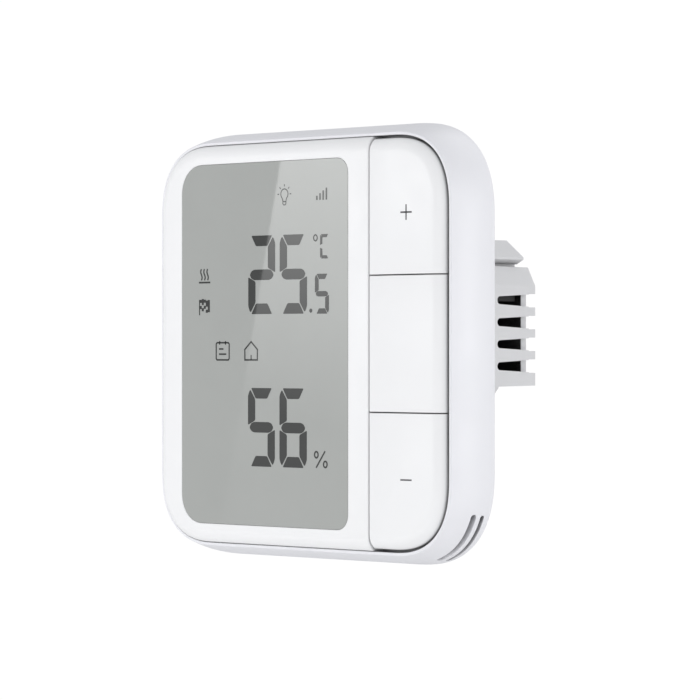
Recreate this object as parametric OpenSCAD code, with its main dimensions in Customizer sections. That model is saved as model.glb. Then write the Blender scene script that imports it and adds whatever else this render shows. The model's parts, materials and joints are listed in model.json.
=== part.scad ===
// Wall thermostat for a standard flush wall box: a flared faceplate with a display window,
// three hinged keys, a sensor corner, and a power unit that sinks into the box.
// Every piece is drawn as if the wall lay flat: x to the right, y up, z out of the wall.
// The last module stands the drawing up, so the object's +Y points into the wall.

/* [Faceplate] */
// Width of the faceplate at its widest
plate_w = 86; // [72:1:104]
// Height of the faceplate at its widest
plate_h = 86; // [72:1:104]
// Height of the front face above the wall
plate_t = 12.4; // [12.2:0.1:15]
// Corner radius of the faceplate at its widest
corner_r = 14.6; // [12:0.1:18]
// How far the front opening lies inside the widest outline
edge_inset = 2.7; // [2:0.1:3]
// Width of the shell's lip around the front opening
lip_w = 0.6; // [0.4:0.1:1]
// Radius of the rounded edge that meets the wall
foot_r = 1.5; // [0.8:0.1:2]
// Wall thickness of the side shell near the wall
shell_wall = 1.5; // [1.2:0.1:2]

/* [Front cover] */
// Width of the domed border of the cover and keys
dome_w = 2.7; // [2:0.1:3.2]
// Drop of the domed border
dome_drop = 1.5; // [1:0.1:1.8]
// Thickness of the cover's face
cover_skin = 1.5; // [1.2:0.1:1.6]
// Thickness of the cover's skirt
skirt_wall = 1.4; // [1:0.1:1.6]
// Seam between the cover and the side shell
cover_gap = 0.1; // [0.05:0.05:0.3]
// Border between the cover's left edge and the display
border_left = 7.1; // [6.5:0.1:9]
// Border above and below the display
border_top = 3.8; // [3.8:0.1:6]
// Border between the display and the keys
border_right = 5.5; // [5:0.1:7]
// Corner radius of the display on the outer side
window_r_left = 6; // [3:0.5:8]
// Corner radius of the display beside the keys
window_r_right = 3.2; // [1.5:0.1:4]

/* [Keys] */
// Width of the key column, with its gap to the cover
key_column_w = 19.9; // [18:0.1:26]
// Gap between the keys and the side shell
key_edge_gap = 0.6; // [0.4:0.1:0.8]
// Gap between neighbouring keys, and between the keys and the cover
key_gap = 0.2; // [0.15:0.05:0.4]
// Thickness of a key's face
key_skin = 1.4; // [1:0.1:1.5]
// Thickness of a key's side walls
key_wall = 1.2; // [0.9:0.1:1.5]
// Depth of the recessed key symbols
symbol_depth = 0.15; // [0.1:0.05:0.3]
// Length of the strokes of the key symbols
symbol_len = 3; // [2:0.1:5]
// Width of the strokes of the key symbols
symbol_stroke = 0.32; // [0.2:0.02:0.6]

/* [Key hinges] */
// Radius of the steel hinge pins
hinge_pin_r = 0.5; // [0.4:0.05:0.6]
// Running clearance between a hinge pin and its key
hinge_fit = 0.06; // [0.02:0.01:0.08]
// Outer radius of a key's hinge barrel
barrel_r = 1.05; // [0.95:0.05:1.2]
// Length of a key's hinge barrel
barrel_len = 16; // [10:1:18]
// Thickness of the lugs that hold a hinge pin
lug_t = 1.2; // [1:0.1:2]
// Gap between a barrel's end and its lug
lug_gap = 0.2; // [0.1:0.05:0.4]
// Distance from the key's edge to its hinge
hinge_inset = 1.3; // [1.2:0.1:2]
// Arm from the hinge to the switch below the key
switch_arm = 9.2; // [7:0.1:11]
// Gap between a key's pusher and its switch at rest
pusher_gap = 0.05; // [0.03:0.01:0.1]

/* [Power unit] */
// Space between the terminal block and the side walls
pod_side_gap = 2.4; // [2:0.1:4]
// Height of the finned block above the plate's centre
pod_top = 15.9; // [14:0.1:19]
// Depth of the finned block below the plate's centre
pod_foot = 8.8; // [8.5:0.1:12]
// How far the power unit reaches behind the wall face
pod_depth = 31.8; // [30:0.1:40]
// How far the shallow lower block reaches behind the wall face
sump_depth = 20.8; // [18:0.1:26]
// Height of the shallow lower block
sump_h = 12.7; // [12.5:0.1:14]
// Wall thickness of the power unit
pod_wall = 1.6; // [1.2:0.1:2]
// Draft of each side wall over the whole depth
pod_draft = 0.4; // [0.2:0.1:1]
// Number of vent slots in each side
vent_count = 4; // [2:1:4]
// Distance between vent slots
vent_pitch = 4.4; // [4.2:0.1:5]
// Height of a vent slot at its front end
vent_w_front = 1.6; // [1.2:0.1:2]
// Height of a vent slot at the rear
vent_w_rear = 2.7; // [2:0.1:3]
// Length of a vent slot, measured from the rear
vent_len = 11.5; // [8:0.1:14]
// How far a vent slot wraps round the rear edge
vent_wrap = 2.5; // [2:0.1:4]

/* [Terminals] */
// Number of wire terminals
way_count = 6; // [4:1:6]
// Distance between wire terminals
way_pitch = 6.4; // [6:0.1:8]
// Radius of a wire entry
wire_r = 1.9; // [1.4:0.1:2]
// Radius of a terminal screw's shank
terminal_screw_r = 1.4; // [1.2:0.1:1.5]
// Height of the terminal block above the plate's centre
terminal_top = 21; // [20:0.1:24]

/* [Wall fixing] */
// Distance between the two wall screws
fixing_span = 60; // [60:1:66]
// Width of a wall screw's slot
fixing_slot_w = 4.5; // [4:0.1:5.5]
// Length of a wall screw's slot
fixing_slot_len = 7; // [6:0.5:9]

/* [Hidden] */
$fn = 64;
// drawing tolerance that keeps cuts from ending flush with a face
cut = 1;

// half sizes of the front opening, and of what lies in it
open_x = plate_w / 2 - edge_inset;
open_y = plate_h / 2 - edge_inset;
open_r = corner_r - edge_inset;
cover_x = open_x - cover_gap;
cover_y = open_y - cover_gap;
cover_r = open_r - cover_gap;
keys_x = open_x - key_edge_gap;
keys_y = open_y - key_edge_gap;
keys_r = open_r - key_edge_gap;
cavity_x = plate_w / 2 - edge_inset - shell_wall;
cavity_y = plate_h / 2 - edge_inset - shell_wall;
cavity_r = corner_r - edge_inset - shell_wall;

// heights above the wall, front to back
seam_z = plate_t - dome_drop;
dome_radius = (dome_w * dome_w + dome_drop * dome_drop) / (2 * dome_drop);
flange_t = 0.8;
lcd_gap = 0.1;
lcd_t = 1.8;
flange_z = plate_t - cover_skin - flange_t;
lcd_z = flange_z - lcd_gap - lcd_t;
frame_t = 1;
frame_z = lcd_z - frame_t;
switch_h = 1.6;
switch_gap = 0.2;
board_t = 1;
board_z = frame_z - switch_gap - switch_h - board_t;
board_top = board_z + board_t;
base_t = 1.6;
base_z = 0.4;
base_top = base_z + base_t;
key_bottom = lcd_z + 0.8;
key_under = plate_t - key_skin;

// fit between pieces that stay still
fit = 0.2;

// the display window, then the key column
key_seam = cover_x - key_column_w;
window_x0 = -cover_x + border_left;
window_x1 = key_seam - border_right;
window_y = cover_y - border_top;
key_x0 = key_seam + key_gap;
key_h = (2 * keys_y - 2 * key_gap) / 3;
key_step = key_h + key_gap;
hinge_x = key_x0 + hinge_inset;
hinge_z = lcd_z + 1.5;
switch_x = hinge_x + switch_arm;
symbol_x = (key_x0 + keys_x) / 2 + 0.35;
symbol_inward = 0.85;
symbol_low = 0.45;

// switches under the keys
switch_w = 5.2;
switch_bore_r = 1.45;
stem_r = 1.3;
stem_flange_r = 1.9;
stem_flange_t = 0.3;
stem_z = board_top + 0.7;
pusher_tip_z = lcd_z + 0.55;
stem_top = pusher_tip_z - pusher_gap;
pusher_r = 1.2;
tip_r = 0.5;
stem_hole_r = 2.2;

// frame posts and their screws, left of the display and under the keys
post_r = 2.1;
post_hole_r = 0.8;
post_left_x = -cavity_x + post_r + 0.3;
post_right_x = key_seam + 3.2;
post_y = cavity_y - cavity_r - 1;
board_screw_r = 1;
board_screw_head_r = 1.8;
board_screw_head_t = 1;

// radio board, tied to the upper left corner of the cavity
radio_x = -cavity_x + 13.1;
radio_y = cavity_y - 17.1;

// display stack
lcd_over = 0.6;
guide_z = board_top + 0.8;
strip_w = 1.8;
strip_y = -window_y + fit;
tray_y0 = strip_y + strip_w + fit;
tray_t = 0.5;
reflector_t = 0.2;

// sensor corner
baffle_t = 0.8;
sensor_x = post_right_x + post_r + fit + baffle_t;
sensor_y = -key_step - switch_w / 2 - fit - baffle_t;
vent_slot_from = -71;
vent_slot_sweep = 52;

// power unit, as wide as its terminal block needs
neck_x = (way_count * way_pitch) / 2 + 1.4;
pod_in = neck_x + pod_side_gap;
pod_w = 2 * (pod_in + pod_wall);
sump_bottom = -(pod_foot + sump_h);
sump_narrow = 11.5;
power_t = 1.6;
power_z = -6.6;
power_front = power_z + power_t;
boss_r = 2.5;
boss_len = 5;
boss_x = pod_in - 1.9;
boss_y_top = pod_top - pod_wall - boss_r + 0.6;
boss_y_low = -pod_foot + pod_wall + boss_r - 0.6;
pod_screw_r = 1.2;
pod_screw_head_r = 2.1;
pod_screw_head_t = 1.1;
vent_mid = (pod_top - pod_foot) / 2 - 1.4;
rear_inner = -pod_depth + pod_wall;
ease_over = 0.3;
ease_side = 5;
ease_mid = 1.3;
ease_in = 0.9;
ease_top = 3;

// terminal block: a neck inside the unit, a chamfered shoulder above it
block_rear = rear_inner + 0.6;
block_front = power_z;
shoulder_x = neck_x + 2.4;
shoulder_gap = 1;
shoulder_y = pod_top + shoulder_gap;
shoulder_fall = terminal_top - shoulder_y - 0.6;
shoulder_chamfer = 4.6;
neck_gap = 0.2;
neck_y = 8.6;
clamp_w = way_pitch - 1.4;
clamp_y0 = neck_y + 0.9;
clamp_y1 = pod_top - 0.3;
clamp_z = -19;
clamp_deep = 8.4;
screw_y = (clamp_y0 + clamp_y1) / 2;
screw_head_r = 2.1;
screw_head_t = 1.8;
screw_bore_r = screw_head_r + 0.2;
wire_bore_r = wire_r;
clamp_bore_r = wire_r + 0.15;

// board-to-board connector
plug_x = 5;
plug_y = -4;
plug_pins = 5;
pin_pitch = 2;
pin_w = 0.5;
plug_w = plug_pins * pin_pitch + 0.8;
plug_t = 2.4;

// fuse and other power parts
relay_size = [18.6, 14.6, 15];
core_size = [14, 13.4, 12];
can_r = 2.4;
can_h = 11;
film_size = [13, 4.6, 10];

// ---- shared shapes -------------------------------------------------------------------------

// stands the flat drawing up on the wall
module on_wall() rotate([90, 0, 0]) children();

// a rectangle with one corner radius
module rounded_rect(half_x, half_y, r) {
  square([2 * (half_x - r), 2 * half_y], center = true);
  square([2 * half_x, 2 * (half_y - r)], center = true);
  for (sx = [-1, 1], sy = [-1, 1]) translate([sx * (half_x - r), sy * (half_y - r)]) circle(r);
}

// a flat slab of the child's outline
module slab(z_low, z_high) translate([0, 0, z_low]) linear_extrude(z_high - z_low) children();

// a rounded plate whose edge follows the child profile, drawn from a corner's centre outwards
module edged_plate(half_x, half_y, r, z_low, z_high) {
  arm_x = half_x - r;
  arm_y = half_y - r;
  for (sx = [-1, 1], sy = [-1, 1]) translate([sx * arm_x, sy * arm_y, 0]) rotate_extrude() children();
  for (turn = [0, 180]) rotate([0, 0, turn]) {
    translate([arm_x, arm_y, 0]) rotate([90, 0, 0]) linear_extrude(2 * arm_y) children();
    translate([-arm_x, arm_y, 0]) rotate([90, 0, 90]) linear_extrude(2 * arm_x) children();
  }
  translate([-arm_x, -arm_y, z_low]) cube([2 * arm_x, 2 * arm_y, z_high - z_low]);
}

// profile of the side shell's outside: a leaning flank over a rounded foot
module shell_profile() {
  lean = edge_inset - lip_w;
  rise = seam_z - foot_r;
  flank_r = (lean * lean + rise * rise) / (2 * lean);
  square([corner_r - foot_r, foot_r + 0.01]);
  translate([corner_r - foot_r, foot_r]) circle(foot_r);
  intersection() {
    translate([0, foot_r]) square([corner_r, rise]);
    translate([corner_r - flank_r, foot_r]) circle(flank_r, $fn = 128);
  }
}

// profile of the domed face, as far out as r
module dome_profile(r, z_low) {
  translate([0, z_low]) square([r - dome_w, plate_t - z_low]);
  translate([0, z_low]) square([r, seam_z - z_low]);
  intersection() {
    translate([r - dome_w, z_low]) square([dome_w, plate_t - z_low]);
    translate([r - dome_w, plate_t - dome_radius]) circle(dome_radius);
  }
}

// the display opening, grown by a margin
module window_outline(grow) {
  r_left = window_r_left + grow;
  r_right = window_r_right + grow;
  x0 = window_x0 - grow;
  x1 = window_x1 + grow;
  y1 = window_y + grow;
  translate([x0 + r_left, -y1]) square([x1 - x0 - r_left - r_right, 2 * y1]);
  translate([x0, r_left - y1]) square([r_left, 2 * (y1 - r_left)]);
  translate([x1 - r_right, r_right - y1]) square([r_right, 2 * (y1 - r_right)]);
  for (s = [-1, 1]) {
    translate([x0 + r_left, s * (y1 - r_left)]) circle(r_left);
    translate([x1 - r_right, s * (y1 - r_right)]) circle(r_right);
  }
}

// puts a child at each key's centre height
module at_each_key() for (i = [-1, 0, 1]) translate([0, i * key_step, 0]) children();

// puts a child at each post of the inner frame
module at_posts() for (x = [post_left_x, post_right_x], s = [-1, 1]) translate([x, s * post_y, 0]) children();

// puts a child at each wire terminal
module at_ways() for (i = [0 : way_count - 1])
  translate([(i - (way_count - 1) / 2) * way_pitch, 0, 0]) children();

// ---- faceplate -----------------------------------------------------------------------------

module side_shell() color("white") difference() {
  edged_plate(plate_w / 2, plate_h / 2, corner_r, 0, seam_z) shell_profile();
  slab(-cut, lcd_z) rounded_rect(cavity_x, cavity_y, cavity_r);
  slab(lcd_z - 0.01, plate_t) rounded_rect(open_x, open_y, open_r);
  sensor_vents();
}

// two curved vents that wrap the lower right corner
module sensor_vents() translate([plate_w / 2 - corner_r, -(plate_h / 2 - corner_r), 0])
  for (v = [[4.55, 1.3], [2.5, 1]]) rotate([0, 0, vent_slot_from]) rotate_extrude(angle = vent_slot_sweep)
    translate([cavity_r - 1, v[0]]) square([corner_r, v[1]]);

module front_cover() color("white") difference() {
  intersection() {
    edged_plate(cover_x, cover_y, cover_r, lcd_z, plate_t) dome_profile(cover_r, lcd_z);
    translate([-plate_w, -plate_h, 0]) cube([plate_w + key_seam, 2 * plate_h, 2 * plate_t]);
  }
  intersection() {
    slab(lcd_z - cut, plate_t - cover_skin)
      rounded_rect(cover_x - skirt_wall, cover_y - skirt_wall, cover_r - skirt_wall);
    translate([-plate_w, -plate_h, 0]) cube([plate_w + key_seam - skirt_wall, 2 * plate_h, plate_t]);
  }
  slab(0, plate_t + cut) window_outline(0);
}

module display_window() color("darkgray") {
  slab(plate_t - cover_skin - 0.01, plate_t) window_outline(-cover_gap);
  slab(flange_z, plate_t - cover_skin) window_outline(1);
}

// as large as the window needs, and never into the cover's skirt
module lcd_panel() color("lightgray") intersection() {
  slab(lcd_z, lcd_z + lcd_t) translate([(window_x0 + window_x1) / 2, 0])
    square([window_x1 - window_x0 + 2 * lcd_over, 2 * (window_y + lcd_over)], center = true);
  slab(lcd_z - cut, plate_t) rounded_rect(cover_x - skirt_wall - fit, cover_y - skirt_wall - fit,
    cover_r - skirt_wall - fit);
}

module tray_area(grow) translate([window_x0 + fit - grow, tray_y0 - grow])
  square([window_x1 - window_x0 - 2 * fit + 2 * grow, window_y - fit - tray_y0 + 2 * grow]);

module light_guide() color("azure") slab(guide_z, lcd_z - lcd_gap) tray_area(-0.3);

module light_reflector() color("white") slab(guide_z - reflector_t, guide_z) tray_area(-0.3);

module light_tray() color("whitesmoke") difference() {
  slab(board_top, frame_z + 0.1) tray_area(0);
  slab(board_top + tray_t, frame_z + cut) tray_area(-0.25);
}

module contact_strip() color("dimgray") slab(board_top, lcd_z)
  translate([window_x0 + 3, strip_y]) square([window_x1 - window_x0 - 6, strip_w]);

// ---- frame and keys ------------------------------------------------------------------------

module inner_frame() color("whitesmoke") {
  difference() {
    union() {
      slab(frame_z, lcd_z) rounded_rect(cavity_x - fit, cavity_y - fit, cavity_r - fit);
      at_posts() translate([0, 0, board_top]) cylinder(r = post_r, h = frame_z - board_top + 0.1);
    }
    slab(frame_z - cut, plate_t) translate([(window_x0 + window_x1) / 2, 0])
      square([window_x1 - window_x0, 2 * window_y], center = true);
    at_posts() translate([0, 0, board_top - cut]) cylinder(r = post_hole_r, h = 3 * frame_t + cut);
    at_each_key() translate([switch_x, 0, 0]) cylinder(r = stem_hole_r, h = plate_t);
  }
  at_each_key() for (s = [-1, 1]) hinge_lug(s);
}

// an upright ear that holds one end of a hinge pin
module hinge_lug(side) {
  start = barrel_len / 2 + lug_gap;
  translate([hinge_x, side > 0 ? start + lug_t : -start, 0]) rotate([90, 0, 0])
    linear_extrude(lug_t) difference() {
      union() {
        translate([0, hinge_z]) circle(barrel_r);
        translate([-barrel_r, lcd_z - 0.01]) square([2 * barrel_r, hinge_z - lcd_z + 0.01]);
      }
      translate([0, hinge_z]) circle(hinge_pin_r + 0.01);
    }
}

module hinge_pins() color("silver") at_each_key()
  translate([hinge_x, barrel_len / 2 + lug_gap + lug_t, hinge_z]) rotate([90, 0, 0])
    cylinder(r = hinge_pin_r, h = barrel_len + 2 * (lug_gap + lug_t));

// the area of one key, with its walls drawn in by a margin
module key_area(index, margin) {
  low = index * key_step - key_h / 2;
  translate([key_x0 + margin, low + margin]) square([keys_x, key_h - 2 * margin]);
}

// one key: a domed tile with a hinge barrel and a pusher for its switch
module key_tile(index) color("white") {
  middle = index * key_step;
  difference() {
    intersection() {
      edged_plate(keys_x, keys_y, keys_r, key_bottom, plate_t) dome_profile(keys_r, key_bottom);
      slab(0, plate_t + cut) key_area(index, 0);
    }
    intersection() {
      slab(key_bottom - cut, key_under)
        rounded_rect(keys_x - key_wall, keys_y - key_wall, keys_r - key_wall);
      slab(0, plate_t) translate([-key_wall, 0]) key_area(index, key_wall);
    }
    translate([symbol_x, middle - index * symbol_inward - symbol_low, plate_t - symbol_depth]) key_symbol(index);
  }
  difference() {
    union() {
      translate([hinge_x, middle + barrel_len / 2, hinge_z]) rotate([90, 0, 0])
        cylinder(r = barrel_r, h = barrel_len);
      translate([hinge_x - barrel_r / 2, middle - barrel_len / 2, hinge_z])
        cube([barrel_r, barrel_len, key_under - hinge_z + 0.01]);
    }
    translate([hinge_x, middle + barrel_len, hinge_z]) rotate([90, 0, 0])
      cylinder(r = hinge_pin_r + hinge_fit, h = 2 * barrel_len);
  }
  translate([switch_x, middle, key_bottom]) cylinder(r = pusher_r, h = key_under - key_bottom + 0.01);
  translate([switch_x, middle, pusher_tip_z]) cylinder(r = tip_r, h = key_bottom - pusher_tip_z + 0.01);
}

// the shallow mark on a key: a plus above, a minus below, none in the middle
module key_symbol(index) if (index != 0) {
  translate([-symbol_len / 2, -symbol_stroke / 2, 0]) cube([symbol_len, symbol_stroke, cut]);
  if (index > 0) translate([-symbol_stroke / 2, -symbol_len / 2, 0]) cube([symbol_stroke, symbol_len, cut]);
}

module key_plus() key_tile(1);
module key_middle() key_tile(0);
module key_minus() key_tile(-1);

// ---- switches ------------------------------------------------------------------------------

module switch_bodies() color("black") at_each_key() translate([switch_x, 0, board_top]) difference() {
  translate([-switch_w / 2, -switch_w / 2, 0]) cube([switch_w, switch_w, switch_h]);
  translate([0, 0, 0.3]) cylinder(r = stem_flange_r + 0.2, h = switch_h - 0.6);
  cylinder(r = switch_bore_r, h = 2 * switch_h);
}

module switch_covers() color("silver") at_each_key() translate([switch_x, 0, board_top + switch_h])
  linear_extrude(0.12) difference() {
    square([switch_w - 0.2, switch_w - 0.2], center = true);
    circle(switch_bore_r + 0.1);
  }

module switch_domes() color("gold") at_each_key() translate([switch_x, 0, board_top + 0.02]) {
  cylinder(r = switch_bore_r - 0.15, h = 0.3);
}

module switch_stem(index) color("ivory") translate([switch_x, index * key_step, stem_z]) {
  cylinder(r = stem_flange_r, h = stem_flange_t);
  cylinder(r = stem_r, h = stem_top - stem_z);
}

module switch_stem_plus() switch_stem(1);
module switch_stem_middle() switch_stem(0);
module switch_stem_minus() switch_stem(-1);

// ---- electronics in the faceplate ----------------------------------------------------------

// the corner of the faceplate that is walled off for the sensor
module sensor_corner(grow) translate([sensor_x - grow, -plate_h]) square([plate_w, plate_h + sensor_y + grow]);

module main_board() color("darkgreen") difference() {
  slab(board_z, board_top) difference() {
    rounded_rect(cavity_x - 2 * fit, cavity_y - 2 * fit, cavity_r - 2 * fit);
    sensor_corner(baffle_t + fit);
  }
  at_posts() translate([0, 0, board_z - cut]) cylinder(r = board_screw_r + 0.1, h = board_t + 2 * cut);
}

module board_screws() color("silver") at_posts() {
  translate([0, 0, board_z - board_screw_head_t]) cylinder(r = board_screw_head_r, h = board_screw_head_t);
  translate([0, 0, board_z - 0.01]) cylinder(r = post_hole_r - 0.05, h = board_t + 2.2);
}

module processor() color("black") translate([radio_x + 22, radio_y - 2, board_z - 0.9])
  cube([7, 7, 0.9]);

module radio_board() color("darkgreen") translate([radio_x, radio_y, board_z - 0.6])
  cube([16, 12, 0.6]);

module radio_shield() color("silver") translate([radio_x + 1, radio_y + 1, board_z - 2])
  cube([10, 10, 1.4]);

module board_socket() color("black") translate([plug_x, plug_y, 0]) difference() {
  translate([-plug_w / 2, -plug_t / 2, base_z]) cube([plug_w, plug_t, board_z - base_z]);
  translate([-plug_w / 2 + 0.4, -pin_w / 2 - 0.1, base_z - cut]) cube([plug_w - 0.8, pin_w + 0.2, 4]);
}

module board_header() color("black") translate([plug_x, plug_y, 0])
  difference() {
    translate([-plug_w / 2, -plug_t / 2, power_front]) cube([plug_w, plug_t, 2.5]);
    at_pins() translate([-pin_w / 2, -pin_w / 2, power_front - cut]) cube([pin_w, pin_w, 5]);
  }

module at_pins() for (i = [0 : plug_pins - 1])
  translate([(i - (plug_pins - 1) / 2) * pin_pitch, 0, 0]) children();

module header_pins() color("gold") translate([plug_x, plug_y, 0]) at_pins()
  translate([-pin_w / 2, -pin_w / 2, power_front]) cube([pin_w, pin_w, base_top + 1 - power_front]);

module sensor_board() color("darkgreen") translate([sensor_x + 0.6, sensor_y - 4.7, board_z])
  cube([6, 4.2, 0.8]);

module climate_sensor() color("black") translate([sensor_x + 2.1, sensor_y - 4.1, board_z + 0.8])
  cube([3, 3, 1]);

module sensor_baffle() color("dimgray") slab(base_top + 0.1, frame_z - 0.1) difference() {
  intersection() {
    sensor_corner(baffle_t);
    rounded_rect(cavity_x - fit, cavity_y - fit, cavity_r - fit);
  }
  sensor_corner(0);
}

// ---- wall plate and power unit -------------------------------------------------------------

module base_plate() color("whitesmoke") difference() {
  slab(base_z, base_top) rounded_rect(cavity_x - fit, cavity_y - fit, cavity_r - fit);
  for (s = [-1, 1]) translate([s * fixing_span / 2, 0, base_z - cut]) linear_extrude(base_t + 2 * cut) {
    square([fixing_slot_len - fixing_slot_w, fixing_slot_w], center = true);
    for (t = [-1, 1]) translate([t * (fixing_slot_len - fixing_slot_w) / 2, 0]) circle(fixing_slot_w / 2);
  }
  translate([plug_x - plug_w / 2 - 0.5, plug_y - plug_t / 2 - 0.5, 0]) cube([plug_w + 1, plug_t + 1, 2 * base_top]);
  at_bosses() translate([0, 0, base_z - cut]) cylinder(r = pod_screw_r + 0.15, h = base_t + 2 * cut);
}

module at_bosses() for (s = [-1, 1], y = [boss_y_low, boss_y_top]) translate([s * boss_x, y, 0]) children();

module pod_screws() color("silver") at_bosses() {
  translate([0, 0, base_top]) cylinder(r = pod_screw_head_r, h = pod_screw_head_t);
  translate([0, 0, base_z - 3.6]) cylinder(r = pod_screw_r, h = base_top - base_z + 3.61);
}

// the finned block, drafted towards the rear; inset draws its walls in
module fin_block(inset) intersection() {
  half = pod_w / 2 - inset;
  rear = -pod_depth + inset;
  front = base_z + (inset > 0 ? cut : 0);
  translate([0, pod_top - inset, 0]) rotate([90, 0, 0]) linear_extrude(pod_top + pod_foot - 2 * inset)
    polygon([[-half, front], [half, front], [half - pod_draft, rear], [-half + pod_draft, rear]]);
  translate([-pod_w, 0, 0]) rotate([90, 0, 90]) linear_extrude(2 * pod_w)
    polygon([[inset - pod_foot, front], [pod_top - inset, front],
      [pod_top - inset - pod_draft, rear], [inset - pod_foot + pod_draft, rear]]);
  if (inset == 0) slab(-pod_depth - cut, base_z + cut) eased_outline();
}

// takes the block's two upper long edges off in two flats
module eased_outline() {
  wide = pod_w / 2 + ease_over;
  polygon([[-wide, -pod_foot - ease_over], [wide, -pod_foot - ease_over], [wide, pod_top - ease_side],
    [wide - ease_in, pod_top - ease_mid], [wide - ease_top, pod_top + ease_over],
    [ease_top - wide, pod_top + ease_over], [ease_in - wide, pod_top - ease_mid], [-wide, pod_top - ease_side]]);
}

// the shallow lower block, narrowed to suit a round wall box
module sump_outline(inset) {
  wide = pod_w / 2 - pod_draft - inset;
  polygon([[-wide, inset - pod_foot + 2], [wide, inset - pod_foot + 2], [wide, inset * 0.4 - pod_foot],
    [wide - sump_narrow, sump_bottom + inset], [sump_narrow - wide, sump_bottom + inset],
    [-wide, inset * 0.4 - pod_foot]]);
}

// one tapered vent slot, open at the rear and wrapped round the edge
module vent_slot() translate([pod_w / 2, 0, -pod_depth]) {
  reach = pod_wall + 1;
  translate([-reach, 0, 0]) rotate([90, 0, 90]) linear_extrude(2 * reach) {
    polygon([[-vent_w_rear / 2, -cut], [vent_w_rear / 2, -cut],
      [vent_w_front / 2, vent_len - vent_w_front / 2], [-vent_w_front / 2, vent_len - vent_w_front / 2]]);
    translate([0, vent_len - vent_w_front / 2]) circle(vent_w_front / 2);
  }
  translate([-vent_wrap - pod_draft, -vent_w_rear / 2, -cut])
    cube([2 * vent_wrap, vent_w_rear, cut + pod_wall + 0.4]);
}

module pod_housing() color("lightgray") difference() {
  union() {
    difference() {
      union() {
        fin_block(0);
        slab(-sump_depth, base_z) sump_outline(0);
      }
      fin_block(pod_wall);
      slab(-sump_depth + pod_wall, base_z + cut) sump_outline(pod_wall);
    }
    at_bosses() translate([0, 0, base_z - boss_len]) cylinder(r = boss_r, h = boss_len);
    at_power_posts() translate([0, 0, -sump_depth + 0.5]) cylinder(r = 2.2, h = sump_depth - 0.5 + power_z);
  }
  at_bosses() translate([0, 0, base_z - 4]) cylinder(r = pod_screw_r + 0.02, h = 4 + cut);
  at_power_posts() translate([0, 0, power_z - 6]) cylinder(r = post_hole_r + 0.02, h = 6 + cut);
  // mouth for the terminal block's neck, and access to its screws
  translate([-neck_x - fit, pod_top - 2 * pod_wall, rear_inner])
    cube([2 * (neck_x + fit), 4 * pod_wall, block_front - rear_inner + fit]);
  at_ways() translate([0, screw_y, -pod_depth - cut]) cylinder(r = screw_bore_r, h = pod_wall + 2 * cut);
  for (side = [0, 1], i = [0 : vent_count - 1]) mirror([side, 0, 0])
    translate([0, vent_mid + (i - (vent_count - 1) / 2) * vent_pitch, 0]) vent_slot();
}

module at_power_posts() for (s = [-1, 1]) translate([s * 10, sump_bottom + pod_wall + 2.4, 0]) children();

module power_board() color("darkgreen") difference() {
  slab(power_z, power_front) {
    wide = pod_in - fit - pod_draft;
    top = pod_top - pod_wall - fit - pod_draft;
    low = sump_bottom + pod_wall + fit;
    elbow = -pod_foot + pod_wall * 0.4 + 2 * fit;
    polygon([[-wide, top], [wide, top], [wide, elbow], [wide - sump_narrow, low],
      [sump_narrow - wide, low], [-wide, elbow]]);
  }
  at_power_posts() translate([0, 0, power_z - cut]) cylinder(r = board_screw_r, h = power_t + 2 * cut);
}

module power_board_screws() color("silver") at_power_posts() {
  translate([0, 0, power_front]) cylinder(r = board_screw_head_r, h = board_screw_head_t);
  translate([0, 0, power_z - 5]) cylinder(r = post_hole_r, h = power_t + 5.01);
}

module relay() color("royalblue") translate([-pod_in + 2.4, neck_y - 0.6 - relay_size.y, power_z - relay_size.z])
  cube(relay_size);

module at_transformer() translate([9, neck_y - 0.6 - core_size.y / 2, 0]) children();

module transformer_core() color("dimgray") at_transformer() translate([0, 0, power_z - core_size.z]) difference() {
  translate([-core_size.x / 2, -core_size.y / 4, 0]) cube([core_size.x, core_size.y / 2, core_size.z - 1]);
  translate([-core_size.x / 2 + 2.5, -core_size.y, 2.5]) cube([core_size.x - 5, 2 * core_size.y, core_size.z - 6]);
}

module transformer_bobbin() color("gold") at_transformer() translate([0, 0, power_z - core_size.z]) {
  translate([-core_size.x / 2 + 2.7, -core_size.y / 2, 2.7])
    cube([core_size.x - 5.4, core_size.y, core_size.z - 6.4]);
  for (s = [-1, 1]) translate([-core_size.x / 2 + 2.7, s * core_size.y * 0.4 - 1, core_size.z - 4])
    cube([core_size.x - 5.4, 2, 4]);
}

module capacitors() color("darkslategray") for (y = [neck_y - 3.6, neck_y - 9.2])
  translate([pod_in - pod_draft - can_r - 0.5, y, power_z - can_h]) cylinder(r = can_r, h = can_h);

module film_capacitor() color("khaki")
  translate([-film_size.x / 2, sump_bottom + pod_wall + 5.6, power_z - film_size.z]) cube(film_size);

module varistor() color("royalblue") translate([-11.5, sump_bottom + pod_wall + 8.6, power_z - 4.6])
  rotate([90, 0, 0]) cylinder(r = 4.2, h = 2.4);

module fuse() color("tan") translate([8, sump_bottom + pod_wall + 7.4, power_z - 2.6]) rotate([0, 90, 0])
  cylinder(r = 1.8, h = 8);

// ---- terminals -----------------------------------------------------------------------------

module block_outline() {
  under = pod_top + neck_gap;
  polygon([[-neck_x, neck_y], [neck_x, neck_y], [neck_x, under], [neck_x + 0.6, under],
    [shoulder_x, shoulder_y + 0.1], [shoulder_x, terminal_top - shoulder_fall],
    [shoulder_x - shoulder_chamfer, terminal_top], [shoulder_chamfer - shoulder_x, terminal_top],
    [-shoulder_x, terminal_top - shoulder_fall], [-shoulder_x, shoulder_y + 0.1],
    [-neck_x - 0.6, under], [-neck_x, under]]);
}

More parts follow.
